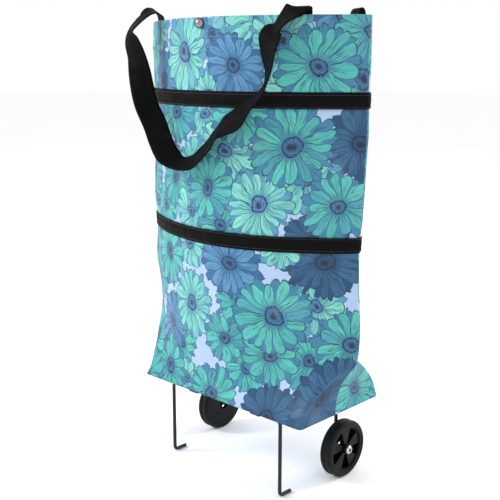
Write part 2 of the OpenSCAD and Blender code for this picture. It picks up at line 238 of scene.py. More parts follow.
FOLD_LEFT, FOLD_RIGHT = 0.078, 0.070  # height over which the square base turns into the pointed oval


def oval(z, turns):
    spread = 1 - max(0.0, 1 - (z - BASE_Z) / (RIM_Z - BASE_Z)) ** 2.2
    hw = HALF_BASE_W + (HALF_RIM_W - HALF_BASE_W) * spread
    hd = HALF_BASE_D + (HALF_RIM_D - HALF_BASE_D) * spread
    c, s = np.cos(turns), np.sin(turns)
    x = hw * np.sign(c) * np.abs(c) ** (2 / 2.05)
    y = hd * np.sign(s) * np.abs(s) ** (2 / 1.15)
    left, right, left_y, right_y = lean(z)
    share = x / hw
    y = y + left_y * np.maximum(0, -share) ** 2.5 + right_y * np.maximum(0, share) ** 2.5
    return np.stack([np.where(x < 0, x * left, x * right), y], 1)


def base_outline(turns):
    c, s = np.cos(turns), np.sin(turns)
    x = HALF_BASE_W * np.sign(c) * np.abs(c) ** (2 / 60) + SHIFT
    return np.stack([x, HALF_BASE_D * np.sign(s) * np.abs(s) ** (2 / 60)], 1)


def even(line, count):
    along = np.concatenate([[0], np.cumsum(np.linalg.norm(np.diff(line, axis=0), axis=1))])
    at = np.linspace(0, along[-1], count + 1)
    return np.stack([np.interp(at, along, line[:, k]) for k in range(2)], 1), at


_rings = {}


def ring(z):
    """Points round the bag at height z from the left end over the front, their outward normals, and the cloth's own u on both halves."""
    key = round(float(z), 6)
    if key in _rings:
        return _rings[key]
    t = np.linspace(0, math.pi, 3000)
    t = t - 0.35 * np.sin(4 * t) / 4
    halves = []
    for turn in (math.pi + t, t):
        low, at = even(base_outline(turn), M)
        # the base's short sides narrow to the oval's pointed ends, so the corners fold up to them
        share = at / at[-1]
        share = np.interp(share, [0, 0.172, 0.25, 0.75, 0.828, 1], [0, 0.035, 0.14, 0.86, 0.965, 1])
        line = oval(z, turn)
        along = np.concatenate([[0], np.cumsum(np.linalg.norm(np.diff(line, axis=0), axis=1))])
        high = np.stack([np.interp(share * along[-1], along, line[:, k]) for k in range(2)], 1)
        side = np.clip((high[:, 0] + 0.15) / 0.3, 0, 1)
        w = 1 - ((z - BASE_Z) / (FOLD_LEFT + (FOLD_RIGHT - FOLD_LEFT) * side)) ** (1 + 0.9 * side)
        w = np.clip(0.5 * (w + np.sqrt(w * w + 0.004)), 0, 1)
        halves.append(even(high * (1 - w)[:, None] + low * w[:, None], M))
    (front, fu), (back, bu) = halves
    ring_ = np.concatenate([front[:-1], back[:-1]])
    left = np.minimum(np.linalg.norm(ring_ - ring_[0], axis=1), 1)
    right = np.linalg.norm(ring_ - ring_[M], axis=1)
    high = min(1.0, max(0.0, (z - BASE_Z - 0.02) / 0.06))
    w = 0.5 * high * np.exp(-(left / 0.022) ** 2) + 0.15 * np.exp(-(right / 0.010) ** 2)
    for _ in range(12):
        ring_ = ring_ + w[:, None] * ((np.roll(ring_, 1, 0) + np.roll(ring_, -1, 0)) / 2 - ring_)
    way = np.roll(ring_, -1, 0) - np.roll(ring_, 1, 0)
    normal = np.stack([way[:, 1], -way[:, 0]], 1) / np.linalg.norm(way, axis=1)[:, None]
    u_front = fu - np.interp(0.0, front[:, 0], fu)
    u_back = bu - np.interp(0.0, -back[:, 0], bu)
    _rings[key] = (ring_, normal, u_front, u_back)
    return _rings[key]


# Creases in the cloth: half (0 front, 1 back), from u, z to u, z, how deep and how wide, all in mm
CREASES = [
    (0, -150, 505, -128, 440, 2.4, 7), (0, -128, 440, -138, 395, 1.8, 9), (0, -95, 500, -100, 452, 1.2, 7),
    (0, -170, 325, -182, 240, 2.6, 10), (0, -182, 240, -150, 118, 2.8, 12), (0, 182, 235, 150, 118, 3.0, 13),
    (0, 196, 330, 190, 262, 1.6, 9), (0, -60, 330, -86, 292, 1.1, 9), (0, 120, 330, 138, 300, 1.0, 9),
    (0, 60, 350, 84, 372, 1.0, 8), (0, 168, 352, 150, 400, 1.4, 9), (0, 200, 508, 184, 470, 1.5, 9),
    (0, -182, 612, -172, 560, 1.8, 9), (0, 30, 530, 52, 556, 0.9, 8), (0, 178, 530, 190, 566, 1.2, 9),
    (1, -180, 330, -188, 238, 2.4, 11), (1, -186, 236, -150, 118, 2.6, 12), (1, 184, 240, 152, 118, 2.8, 12),
    (1, 120, 505, 136, 436, 1.7, 9), (1, -96, 506, -116, 452, 1.6, 9), (1, 22, 352, 40, 392, 1.2, 9),
    (1, -60, 330, -44, 280, 1.4, 10), (1, 76, 332, 60, 296, 1.1, 9), (1, 150, 612, 140, 566, 1.2, 9),
]
STILL = [  # places where fittings touch the cloth: x, y, z and how far it lies still
    (*(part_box("zip_slider")[0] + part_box("zip_slider")[1]) / 2, 0.030),
    (*(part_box("snap_cap")[0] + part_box("snap_cap")[1]) / 2, 0.016),
    (*(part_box("snap_stud_cap")[0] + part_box("snap_stud_cap")[1]) / 2, 0.016),
    (*(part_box("zip_end_box")[0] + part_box("zip_end_box")[1]) / 2, 0.020),
]


def lift(xy, z, u, half):
    """How far the cloth stands out from its smooth shape there."""
    p = np.column_stack([xy, z])
    d = 1.3 * waves(p, 0.150, 3) + 0.55 * waves(p * [1, 1, 0.7], 0.052, 5) + 0.16 * waves(p, 0.017, 8)
    for side, u0, z0, u1, z1, deep, wide in CREASES:
        a, b = np.array([u0, z0]) * MM, np.array([u1, z1]) * MM
        q = np.column_stack([u, z]) - a
        t = (q @ (b - a)) / ((b - a) @ (b - a))
        bend = 0.004 * np.sin(t * math.pi)
        away = (q @ np.array([-(b - a)[1], (b - a)[0]])) / np.linalg.norm(b - a) - bend
        ends = np.clip(1.15 - np.abs(t - 0.5) * 1.9, 0, 1)
        w = wide * MM
        d += (half == side) * deep * ends * ends * (np.exp(-(away / w) ** 2) - 0.75 * np.exp(-((away - 1.5 * w) / (1.3 * w)) ** 2))
    seams = [LOWER_TOP, LOWER_TAPE_TOP, MIDDLE_TOP, UPPER_TAPE_TOP]
    near = np.min([np.abs(z - s) for s in seams], axis=0)
    inside = ((z > LOWER_TOP) & (z < LOWER_TAPE_TOP)) | ((z > MIDDLE_TOP) & (z < UPPER_TAPE_TOP))
    calm = np.where(inside, 0.35, 0.35 + 0.65 * np.clip(near / 0.018, 0, 1))
    foot = 1 - np.exp(-np.maximum(z - BASE_Z, 0) / 0.022)
    rim = 0.55 + 0.45 * np.clip((RIM_Z - z) / 0.03, 0, 1)
    still = np.ones(len(p))
    for x, y, h, r in STILL:
        still *= 1 - np.exp(-((p - [x, y, h]) ** 2).sum(1) / r ** 2)
    return d * MM * calm * foot * rim * still


def wall(z, grow=0.0, wrinkled=True):
    """The wall's points at height z, a row of 2M."""
    xy, normal, uf, ub = ring(z)
    u = np.concatenate([uf[:-1], ub[:-1]])
    half = np.concatenate([np.zeros(M, int), np.ones(M, int)])
    zz = np.full(len(xy), z)
    out = np.asarray(grow, float) + (lift(xy, zz, u, half) if wrinkled else 0)
    return np.column_stack([xy + normal * np.broadcast_to(out, (len(xy),))[:, None], zz])


def tube(name, rows, mats, outer_rows):
    """A closed ring of cloth from a profile: rows of (z of the ring, outward grow, z shown). The first outer_rows rows show mats[0]."""
    verts, uv_rows = [], []
    for z, grow, shown in rows:
        p = wall(z, grow)
        p[:, 2] = shown
        verts.append(p)
        _, _, uf, ub = ring(z)
        uv_rows.append((uf, ub, shown))
    n, k = 2 * M, len(rows)
    verts = np.concatenate(verts)
    faces, uvs, which = [], [], []
    for r in range(k):
        s = (r + 1) % k
        for c in range(n):
            d = (c + 1) % n
            faces.append((r * n + c, r * n + d, s * n + d, s * n + c))
            half, i = (0, c) if c < M else (1, c - M)
            a, b = uv_rows[r], uv_rows[s]
            uvs += [(a[half][i], a[2]), (a[half][i + 1], a[2]), (b[half][i + 1], b[2]), (b[half][i], b[2])]
            which.append(0 if r < outer_rows else 2 if len(mats) > 2 and r < outer_rows + 3 else 1)
    return make(name, verts, faces, mats, which, uvs)


def tier(name, low, high, mats, step=4 * MM, foot=0.0, rim=False):
    """One printed tier with its lining, closed at both edges."""
    count = max(2, round((high - low) / step))
    rows = [(z, foot * MM * math.exp(-(z - low) / 0.004), z)
            for z in np.linspace(low, high - (0.9 * MM if rim else 0), count + 1)]
    if rim:
        rows += [(high, -0.25 * MM, high - 0.25 * MM), (high, -0.8 * MM, high), (high, -1.7 * MM, high),
                 (high, -2.3 * MM, high - 0.3 * MM)]
        outer = len(rows) - 4
        rows += [(z, -2.6 * MM, z) for z in np.linspace(high - 1.2 * MM, high - 24 * MM, 8)]
        rows += [(high - 25.5 * MM, -CLOTH, high - 25.5 * MM)]
        rows += [(z, -CLOTH, z) for z in np.linspace(high - 29 * MM, low, 16)]
    else:
        outer = len(rows) - 1
        rows += [(z, -CLOTH, z) for z in np.linspace(high, low, max(4, count // 2))]
    return tube(name, rows, mats, outer)


def tape(name, low, high, mats, meet):
    """A zip tape: slightly rounded, doubled at its sewn edge, with a fine groove along the middle; meet is +1 if the teeth run near its top."""
    h = high - low
    profile = [(-0.3, 0.0), (-0.3, 0.6), (0.0, 1.05), (0.06, 1.35), (0.13, 1.5), (0.21, 1.5), (0.3, 1.72),
               (0.4, 1.86), (0.5, 1.92), (0.6, 1.9),
               (0.67, 1.8), (0.7, 1.5), (0.72, 1.15), (0.755, 1.15), (0.775, 1.5), (0.805, 1.72), (0.88, 1.6),
               (0.95, 1.35), (1.0, 1.0), (1.0, 0.0)]
    if meet < 0:
        profile = [(1 - s, g) for s, g in profile[::-1]]
    rows = []
    for s, g in profile:
        z = low + h * min(1, max(0, s)) + (s < 0) * -0.7 * MM + (s > 1) * 0.7 * MM
        rows.append((z, g * MM, z))
    rows += [(z, -CLOTH - 0.2 * MM, z) for z in np.linspace(high, low, 6)]
    return tube(name, rows, mats, len(profile) - 1)


def base_cloth(mats):
    """The cloth under the board, out to the wall's foot, thin and level."""
    xy = ring(BASE_Z)[0]
    centre = np.array([SHIFT, 0.0])
    low, high = BASE_Z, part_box("bottom_panel")[1].z
    verts, faces = [], []
    shares = (0.0, 0.3, 0.6, 0.85, 0.97, 1.0)
    n = len(xy)
    for z, sign in ((low, 1), (high, -1)):
        first = len(verts)
        verts.append((*centre, z))
        for s in shares[1:]:
            ring_ = centre + (xy - centre) * s
            verts += [(x, y, z + (0.25 * MM if sign > 0 and s > 0.98 else 0)) for x, y in ring_]
        for c in range(n):
            d = (c + 1) % n
            faces.append((first, first + 1 + d, first + 1 + c)[::sign])
            for k in range(len(shares) - 2):
                a, b = first + 1 + k * n, first + 1 + (k + 1) * n
                faces.append((a + c, a + d, b + d, b + c)[::sign])
    edge_low, edge_high = 1 + 4 * n, 1 + 5 * n + 1 + 4 * n
    faces += [(edge_low + c, edge_low + (c + 1) % n, edge_high + (c + 1) % n, edge_high + c) for c in range(n)]
    return make("base_cloth", verts, faces, mats, smooth=False)


def lathe(name, where, way, profile, mats, turn=48, which=None):
    """A turned piece: profile holds (distance along way, radius) pairs."""
    way = np.array(way, float) / np.linalg.norm(way)
    side = np.cross(way, (0, 0, 1))
    side /= np.linalg.norm(side)
    up = np.cross(side, way)
    verts = [np.array(where) + way * a + (side * math.cos(g) + up * math.sin(g)) * r for a, r in profile
             for g in (TAU * k / turn for k in range(turn))]
    faces, mat = [], []
    for k in range(len(profile) - 1):
        for i in range(turn):
            j = (i + 1) % turn
            faces.append((k * turn + i, k * turn + j, (k + 1) * turn + j, (k + 1) * turn + i))
            mat.append(which[k] if which else 0)
    faces += [tuple(range(turn - 1, -1, -1)), tuple((len(profile) - 1) * turn + i for i in range(turn))]
    mat += [0, 0]
    return make(name, verts, faces, mats, mat)


def ring_line(z, grow, step):
    """Points about a step apart round the bag at height z and their outward normals."""
    p = wall(z, grow)
    q = wall(z, grow + 1 * MM)
    p, out = np.vstack([p, p[:1]]), np.vstack([q - p[: len(q)], (q - p[: len(q)])[:1]])
    along = np.concatenate([[0], np.cumsum(np.linalg.norm(np.diff(p, axis=0), axis=1))])
    count = round(along[-1] / step)
    at = np.arange(count) * along[-1] / count
    line = np.stack([np.interp(at, along, p[:, k]) for k in range(3)], 1)
    out = np.stack([np.interp(at, along, out[:, k]) for k in range(3)], 1)
    return line, out / np.linalg.norm(out, axis=1)[:, None]


def stitches(name, lines, mat, thick=0.42, length=2.3):
    """Short rounded stitches; lines holds (points, normals) pairs."""
    verts, faces = [], []
    for line, out in lines:
        closed = np.linalg.norm(line[0] - line[-1]) < 0.01
        way = np.roll(line, -1, 0) - line
        if not closed:
            way[-1] = way[-2]
        way /= np.linalg.norm(way, axis=1)[:, None]
        side = np.cross(out, way)
        for c, t, o, s in zip(line, way, out, side):
            first = len(verts)
            for a, w, h in ((-0.5, 0.25, -0.35), (-0.32, 1, 0.45), (0.32, 1, 0.45), (0.5, 0.25, -0.35)):
                base = c + t * a * length * MM
                for m in range(6):
                    g = TAU * m / 6
                    verts.append(base + s * (math.cos(g) * thick * w * MM) + o * ((math.sin(g) * 0.8 * w + h) * thick * MM))
            for k in range(3):
                for m in range(6):
                    a, b = first + 6 * k + m, first + 6 * k + (m + 1) % 6
                    faces.append((a, b, b + 6, a + 6))
            faces.append(tuple(first + m for m in range(5, -1, -1)))
            faces.append(tuple(first + 18 + m for m in range(6)))
    return make(name, verts, faces, [mat])


def coil(name, z, mat, grow=1.1, radius=0.6, pitch=1.45, wire=0.36):
    """The zip's coil: a fine helix that runs right round."""
    per, sides = 10, 4
    base, out = ring_line(z, grow * MM, pitch * MM / per)
    base, out = base[: len(base) // per * per], out[: len(out) // per * per]
    way = np.roll(base, -1, 0) - np.roll(base, 1, 0)
    way /= np.linalg.norm(way, axis=1)[:, None]
    up = np.cross(way, out)
    g = TAU * np.arange(len(base)) / per
    centre = base + out * (radius * MM * 0.62 * np.cos(g))[:, None] + up * (radius * MM * 1.5 * np.sin(g))[:, None]
    run = np.roll(centre, -1, 0) - np.roll(centre, 1, 0)
    run /= np.linalg.norm(run, axis=1)[:, None]
    a = np.cross(run, way)
    a /= np.linalg.norm(a, axis=1)[:, None]
    b = np.cross(run, a)
    verts = np.concatenate([centre + a * (math.cos(TAU * k / sides) * wire * MM) + b * (math.sin(TAU * k / sides) * wire * MM) for k in range(sides)])
    n = len(centre)
    faces = [(k * n + i, ((k + 1) % sides) * n + i, ((k + 1) % sides) * n + (i + 1) % n, k * n + (i + 1) % n)
             for k in range(sides) for i in range(n)]
    return make(name, verts, faces, [mat])


# ---------- materials ----------
NAVY = rgb(16, 54, 90)
GAIN = 0.80  # the studio is brighter than the cloth's own colours allow


def flower_group():
    g = bpy.data.node_groups.new("flower", "ShaderNodeTree")
    for name, kind in (("Place", "Vector"), ("Under", "Color"), ("Light", "Color"), ("Dark", "Color"),
                       ("Back", "Color"), ("Heart", "Color"), ("Seed", "Float"), ("Petals", "Float")):
        g.interface.new_socket(name, in_out="INPUT", socket_type="NodeSocket" + kind)
    g.interface.new_socket("Colour", in_out="OUTPUT", socket_type="NodeSocketColor")
    n = Nodes(g)
    i = n.add("NodeGroupInput").outputs
    r = n.vmath("LENGTH", i["Place"])
    x, y, _ = n.split(i["Place"])
    angle = n.math("ARCTAN2", y, x)
    t = n.math("ADD", n.math("MULTIPLY", angle, n.math("DIVIDE", i["Petals"], TAU)), i["Seed"])
    swing = n.math("MULTIPLY", n.math("SINE", n.math("MULTIPLY_ADD", angle, 3.0, i["Seed"])), 0.22)
    t = n.math("ADD", t, swing)
    index = n.math("FLOORED_MODULO", n.math("FLOOR", t), i["Petals"])
    chance = n.add("ShaderNodeTexWhiteNoise", {"Vector": n.join(index, i["Seed"])}, noise_dimensions="2D").outputs[1]
    rnd, rnd2, rnd3 = n.split(chance)
    f = n.math("FRACT", t)
    phi = n.math("ABSOLUTE", n.math("MULTIPLY_ADD", f, 2.0, -1.0))
    # front petals: long, rounded, some shorter than others
    narrow = n.math("POWER", phi, 2.9)
    reach = n.math("MULTIPLY", n.math("MULTIPLY_ADD", rnd, 0.20, 0.78), n.math("MULTIPLY_ADD", narrow, -0.52, 1.0))
    front = n.math("SUBTRACT", 1.0, n.step(r, n.math("SUBTRACT", reach, 0.012), n.math("ADD", reach, 0.012)))
    edge = n.step(r, n.math("SUBTRACT", reach, 0.05), n.math("SUBTRACT", reach, 0.015))
    seam = n.math("MULTIPLY", n.step(phi, n.math("MULTIPLY_ADD", r, 0.12, 0.74), 0.97), n.step(r, 0.2, 0.34))
    line_f = n.math("MAXIMUM", edge, seam)
    # back petals show in the notches
    phi2 = n.math("SUBTRACT", 1.0, phi)
    reach2 = n.math("MULTIPLY", n.math("MULTIPLY_ADD", rnd2, 0.12, 0.88),
                    n.math("MULTIPLY_ADD", n.math("POWER", phi2, 2.6), -0.6, 1.0))
    back = n.math("SUBTRACT", 1.0, n.step(r, n.math("SUBTRACT", reach2, 0.012), n.math("ADD", reach2, 0.012)))
    line_b = n.step(r, n.math("SUBTRACT", reach2, 0.05), n.math("SUBTRACT", reach2, 0.012))
    # lengthwise streaks
    streak_at = n.join(n.math("MULTIPLY", t, 2.6), n.math("MULTIPLY", r, 1.1), i["Seed"])
    streak = n.step(n.noise(streak_at, 1.9, 3.0, 0.6), 0.40, 0.62)
    vein_at = n.join(n.math("MULTIPLY", t, 5.5), n.math("MULTIPLY", r, 1.6), n.math("ADD", i["Seed"], 7.0))
    veins = n.step(n.noise(vein_at, 1.6, 2.0, 0.55), 0.54, 0.63)
    glow = n.math("MULTIPLY", n.step(r, 0.15, 0.42), n.math("MULTIPLY_ADD", rnd3, 0.5, 0.62), clamp=True)
    petal = n.mix(glow, i["Dark"], i["Light"])
    petal = n.mix(n.math("MULTIPLY", streak, 0.30), petal, i["Back"])
    petal = n.mix(n.math("MULTIPLY", n.step(rnd2, 0.84, 0.9), 0.5), petal, i["Back"])
    petal = n.mix(n.math("MULTIPLY", veins, n.step(r, 0.95, 0.3, 0.16, 0.8)), petal, NAVY)
    petal = n.mix(n.math("MULTIPLY", n.step(phi, 0.1, 0.0), n.step(r, 0.85, 0.4, 0.05, 0.55)), petal, NAVY)
    petal = n.mix(n.math("MULTIPLY", line_f, 0.92), petal, NAVY)
    behind = n.mix(n.math("MULTIPLY", streak, 0.45), i["Back"], i["Dark"])
    behind = n.mix(n.math("MULTIPLY", n.math("MAXIMUM", line_b, n.math("MULTIPLY", veins, 0.5)), 0.8), behind, NAVY)
    shade = n.step(r, 0.34, 0.2, 0.0, 0.6)
    petal = n.mix(shade, petal, i["Back"])
    # the heart: ring, stipple and a dark middle
    grain = n.noise(n.vmath("SCALE", i["Place"], scale=1.0), 26.0, 2.0, 0.7)
    heart = n.mix(n.step(grain, 0.50, 0.62, 0.0, 0.85), i["Heart"], rgb(14, 34, 62))
    heart = n.mix(n.math("MULTIPLY", n.step(r, 0.12, 0.04), 0.85), heart, rgb(16, 28, 52))
    dots = n.math("MULTIPLY", n.step(r, 0.15, 0.18), n.step(grain, 0.40, 0.5, 0.25, 1.0))
    heart = n.mix(dots, heart, rgb(10, 30, 56))
    middle = n.step(r, 0.222, 0.205)
    petal = n.mix(middle, petal, heart)
    both = n.mix(front, behind, petal)
    mask = n.math("MAXIMUM", front, back)
    n.add("NodeGroupOutput", {0: n.mix(mask, i["Under"], both)})
    return g


FLOWER = flower_group()
KINDS = {  # light, dark, back petals, heart
    "mint": (rgb(136, 226, 208), rgb(80, 176, 180), rgb(88, 150, 192), rgb(86, 142, 190)),
    "teal": (rgb(90, 204, 188), rgb(46, 142, 152), rgb(66, 130, 172), rgb(66, 120, 166)),
    "blue": (rgb(98, 160, 202), rgb(54, 112, 160), rgb(48, 104, 152), rgb(56, 106, 152)),
    "dark": (rgb(54, 108, 148), rgb(28, 74, 114), rgb(28, 76, 116), rgb(36, 78, 116)),
}
# Flowers of each tier in the cloth's own millimetres: across, height, radius, aspect, tilt, petals, kind.
# At least twenty centres come from a projection of flowers picked in the photo.
PRINT = {
    # On the lower tier's right the darker flowers at (97, 190), (103, 247), (106, 114), (170, 322) and (187, 146) are
    # print and also painted shade, darker towards the bottom right.
    "lower": [
        (-176, 330, 44, .9, 20, 13, "blue"), (-150, 262, 52, .9, 20, 13, "teal"), (-205, 305, 52, .9, 60, 12, "teal"),
        (-196, 215, 56, .9, 10, 13, "blue"), (-150, 165, 50, .9, 50, 12, "teal"), (-60, 180, 40, .9, 40, 12, "teal"),
        (-205, 140, 54, .9, 0, 13, "teal"), (-30, 330, 40, .9, 10, 12, "mint"), (-128, 330, 40, .9, 0, 12, "teal"),
        (160, 262, 44, .9, 30, 12, "mint"), (60, 262, 46, .9, 0, 13, "teal"), (170, 322, 58, .92, 10, 15, "dark"),
        (43, 310, 54, .9, -20, 14, "blue"), (-93, 305, 54, .85, 80, 14, "teal"), (150, 190, 42, .9, 60, 13, "teal"),
        (62, 170, 40, .9, 20, 12, "teal"), (110, 334, 30, .9, 10, 11, "mint"), (-88, 203, 50, .86, 70, 14, "blue"),
        (-50, 130, 36, .9, 0, 12, "mint"), (204, 213, 56, .92, 20, 13, "teal"), (-32, 243, 56, .82, 74, 15, "mint"),
        (31, 206, 42, .9, 40, 11, "teal"), (-87, 138, 48, .84, 76, 13, "teal"), (106, 114, 52, .9, 8, 14, "dark"),
        (0, 118, 53, .9, 30, 13, "teal"), (97, 190, 46, .92, -20, 13, "teal"), (223, 131, 50, .9, 10, 13, "teal"),
        (187, 146, 58, .95, 14, 15, "dark"), (103, 247, 59, .95, 30, 15, "teal"), (-140, 116, 40, .9, 10, 12, "teal"),
    ],
    "middle": [
        (-205, 470, 58, .9, 0, 14, "teal"), (-196, 398, 56, .9, 40, 13, "blue"), (-140, 372, 48, .9, 60, 13, "mint"),
        (-118, 470, 54, .88, 60, 14, "blue"), (10, 500, 40, .9, 10, 12, "mint"), (-96, 372, 40, .9, 10, 12, "teal"),
        (215, 468, 54, .94, 0, 14, "dark"), (146, 425, 50, .9, 40, 13, "mint"), (-63, 415, 50, .86, 70, 14, "teal"),
        (-52, 500, 48, .9, 20, 14, "teal"), (-150, 420, 44, .9, 20, 13, "teal"), (56, 430, 40, .9, 30, 12, "teal"),
        (40, 457, 48, .9, -10, 13, "mint"), (63, 505, 48, .9, 30, 14, "teal"), (-22, 372, 40, .9, 10, 12, "mint"),
        (30, 360, 44, .9, 50, 13, "teal"), (160, 348, 46, .9, 0, 13, "dark"), (-12, 440, 36, .9, 30, 12, "mint"),
        (13, 407, 48, .88, 60, 14, "teal"), (187, 390, 50, .95, 10, 13, "teal"), (86, 390, 55, .86, 60, 15, "mint"),
        (130, 466, 60, .95, 16, 16, "teal"),
    ],
    "upper": [
        (-204, 590, 56, .9, 0, 13, "teal"), (-160, 548, 52, .9, 30, 13, "teal"), (-112, 606, 52, .88, 60, 13, "mint"),
        (-90, 540, 50, .9, 70, 14, "blue"), (84, 545, 44, .9, 30, 13, "mint"), (22, 600, 30, .9, 0, 10, "blue"),
        (-140, 585, 44, .88, 10, 12, "teal"), (214, 545, 56, .95, 10, 13, "teal"), (192, 618, 44, .95, 20, 13, "blue"),
        (228, 600, 50, .95, 20, 13, "teal"), (44, 630, 36, .9, 0, 11, "mint"), (88, 618, 48, .9, 20, 13, "mint"),
        (118, 590, 56, .86, 84, 14, "mint"), (16, 526, 42, .9, 0, 12, "mint"), (56, 562, 48, .88, -30, 14, "blue"),
        (-30, 577, 58, .84, 76, 14, "mint"), (160, 561, 56, .95, 12, 13, "teal"),
    ],
}


def cloth_at(n):
    """Metres across and up the flat cloth."""
    return n.add("ShaderNodeUVMap", uv_map="flat").outputs[0]


def weave(n, at, pitch):
    """A fine plain weave in the cloth's own metres, 0 to 1."""
    x, y, _ = n.split(at)
    k = TAU / pitch
    a, b = n.math("SINE", n.math("MULTIPLY", x, k)), n.math("SINE", n.math("MULTIPLY", y, k))
    return n.math("MULTIPLY_ADD", n.math("MULTIPLY", a, b), 0.5, 0.5)


def print_cloth(tier_name):
    def build(n, shader):
        at = cloth_at(n)
        flat = n.vmath("SCALE", at, scale=1000.0)
        wob = n.vmath("SUBTRACT", n.noise(flat, 0.035, 2.0, 0.5, out=1), (0.5, 0.5, 0.5))
        fine_wob = n.vmath("SUBTRACT", n.noise(flat, 0.16, 1.0, 0.5, out=1), (0.5, 0.5, 0.5))
        place = n.vmath("ADD", n.vmath("ADD", flat, n.vmath("SCALE", wob, scale=16.0)),
                        n.vmath("SCALE", fine_wob, scale=1.4))
        colour = n.mix(n.noise(flat, 0.03, 2.0), rgb(168, 196, 234), rgb(188, 212, 244))
        for k, (u, z, radius, aspect, tilt, petals, kind) in enumerate(PRINT[tier_name]):
            after = n.vmath("ADD", place,
                            n.vmath("SCALE", colour, scale=1e-6))  # one flower after another keeps the shader small
            spot = {"Vector": after, "Location": (u, z, 0), "Rotation": (0, 0, math.radians(tilt)),
                    "Scale": (radius, radius * aspect, 1)}
            local = n.add("ShaderNodeMapping", spot, vector_type="TEXTURE").outputs[0]
            local = n.vmath("MULTIPLY", local, (1, 1, 0))
            light, dark, back, heart = KINDS[kind]
            g = n.add("ShaderNodeGroup", node_tree=FLOWER)
            for name, v in (("Place", local), ("Under", colour), ("Light", light), ("Dark", dark), ("Back", back),
                            ("Heart", heart), ("Seed", 3.37 * k + 0.4), ("Petals", float(petals))):
                if isinstance(v, bpy.types.NodeSocket):
                    n.tree.links.new(v, g.inputs[name])
                else:
                    g.inputs[name].default_value = v
            colour = g.outputs[0]
        # threads of the cloth, slight fading and handling marks
        threads = weave(n, at, 0.00062)
        colour = n.mix(n.math("MULTIPLY", threads, 0.05), colour, rgb(235, 240, 248))
        worn = n.step(n.noise(flat, 0.012, 4.0, 0.6), 0.5, 0.75)
        colour = n.mix(n.math("MULTIPLY", worn, 0.06), colour, rgb(225, 232, 240))
        colour = n.mix(1.0, colour, (GAIN, GAIN, GAIN, 1.0), "MULTIPLY")
        rough = n.step(n.noise(flat, 0.05, 3.0), 0.3, 0.7, 0.42, 0.56)
        low = bump(n, n.noise(flat, 0.10, 3.0, 0.55), 0.25, 0.0012)
        set_in(n, shader, color=colour, rough=rough, spec=0.14, sheen=0.0, coat=0.02, coat_rough=0.35,
               normal=bump(n, threads, 0.25, 0.00006, low))
    return material("print_" + tier_name, build)


def coords(n):
    return n.add("ShaderNodeTexCoord").outputs["Object"]


def lining(n, shader):
    at = cloth_at(n)
    threads = weave(n, at, 0.0011)
    flat = n.vmath("SCALE", at, scale=1000.0)
    tone = n.mix(n.noise(flat, 0.02, 4.0, 0.6), rgb(196, 201, 206), rgb(222, 226, 230))
    tone = n.mix(n.math("MULTIPLY", threads, 0.12), tone, rgb(150, 156, 164))
    set_in(n, shader, color=tone, rough=0.38, spec=0.5,
           normal=bump(n, threads, 0.4, 0.0001, bump(n, n.noise(flat, 0.08, 3.0), 0.4, 0.002)))


def rim_fold(n, shader):
    flat = n.vmath("SCALE", cloth_at(n), scale=1000.0)
    tone = n.mix(n.step(n.noise(flat, 0.08, 4.0, 0.7), 0.35, 0.65), rgb(112, 176, 180), rgb(176, 206, 216))
    tone = n.mix(n.math("MULTIPLY", n.step(n.noise(flat, 0.5, 3.0, 0.7), 0.55, 0.7), 0.5), tone, rgb(206, 220, 226))
    set_in(n, shader, color=tone, rough=0.5, spec=0.3, normal=bump(n, n.noise(flat, 1.0, 2.0), 0.3, 0.0003))


def dark_cloth(low, high, rough_low, rough_high, rib=0.00105, across=False):
    def build(n, shader):
        at = cloth_at(n)
        x, y, _ = n.split(at)
        ribs = n.math("SINE", n.math("MULTIPLY", y, TAU / rib))
        picks = n.math("SINE", n.math("MULTIPLY", x, TAU / (rib * 1.5)))
        # a herringbone of ribs that lean one way and then the other
        slant = n.math("MULTIPLY", n.math("PINGPONG", y, 0.004), TAU / 0.0014)
        twill = n.math("SINE", n.math("MULTIPLY_ADD", x, TAU / 0.0021, slant))
        cross = n.math("ADD", n.math("MULTIPLY", picks, 0.35), n.math("MULTIPLY", twill, 0.65 if across else 0.1))
        height = n.math("MULTIPLY_ADD", n.math("ADD", n.math("MULTIPLY", ribs, 0.5), cross), 0.33, 0.5)
        flat = n.vmath("SCALE", at, scale=1000.0)
        fuzz = n.noise(flat, 1.3, 3.0, 0.7)
        tone = n.mix(n.math("MULTIPLY", n.math("ADD", height, fuzz), 0.5), low, high)
        tone = n.mix(n.math("MULTIPLY", n.step(n.noise(flat, 0.05, 3.0, 0.6), 0.45, 0.7), 0.5), tone, high)
        rough = n.step(n.noise(flat, 0.08, 3.0), 0.3, 0.7, rough_low, rough_high)
        set_in(n, shader, color=tone, rough=rough, spec=0.05,
               normal=bump(n, height, 0.9, 0.00028, bump(n, fuzz, 0.3, 0.0003)))
    return build


def plastic(low, high, rough, speck=900.0, spec=0.5):
    def build(n, shader):
        at = coords(n)
        cloud = n.noise(at, 18.0, 4.0, 0.6)
        grain = n.noise(at, speck, 2.0, 0.6)
        tone = n.mix(cloud, low, high)
        scuff = n.math("MULTIPLY", n.step(n.noise(at, 60.0, 4.0, 0.7, 1.5), 0.60, 0.72), 0.25)
        tone = n.mix(scuff, tone, rgb(56, 56, 58))
        set_in(n, shader, color=tone, rough=n.step(cloud, 0.3, 0.7, rough, rough + 0.14), spec=spec * 0.35,
               normal=bump(n, grain, 0.12, 0.0002))
    return build


def metal(low, high, rough, dirt=0.3):
    def build(n, shader):
        at = coords(n)
        cloud = n.noise(at, 40.0, 4.0, 0.6)
        lines = n.noise(n.vmath("MULTIPLY", at, (1.0, 1.0, 14.0)), 260.0, 3.0, 0.6)
        tone = n.mix(cloud, low, high)
        spots = n.math("MULTIPLY", n.step(n.noise(at, 120.0, 4.0, 0.7), 0.58, 0.72), dirt)
        tone = n.mix(spots, tone, rgb(60, 56, 52))
        set_in(n, shader, color=tone, metal=1.0, rough=n.step(lines, 0.3, 0.7, rough, rough + 0.16),
               normal=bump(n, lines, 0.12, 0.0001))
    return build


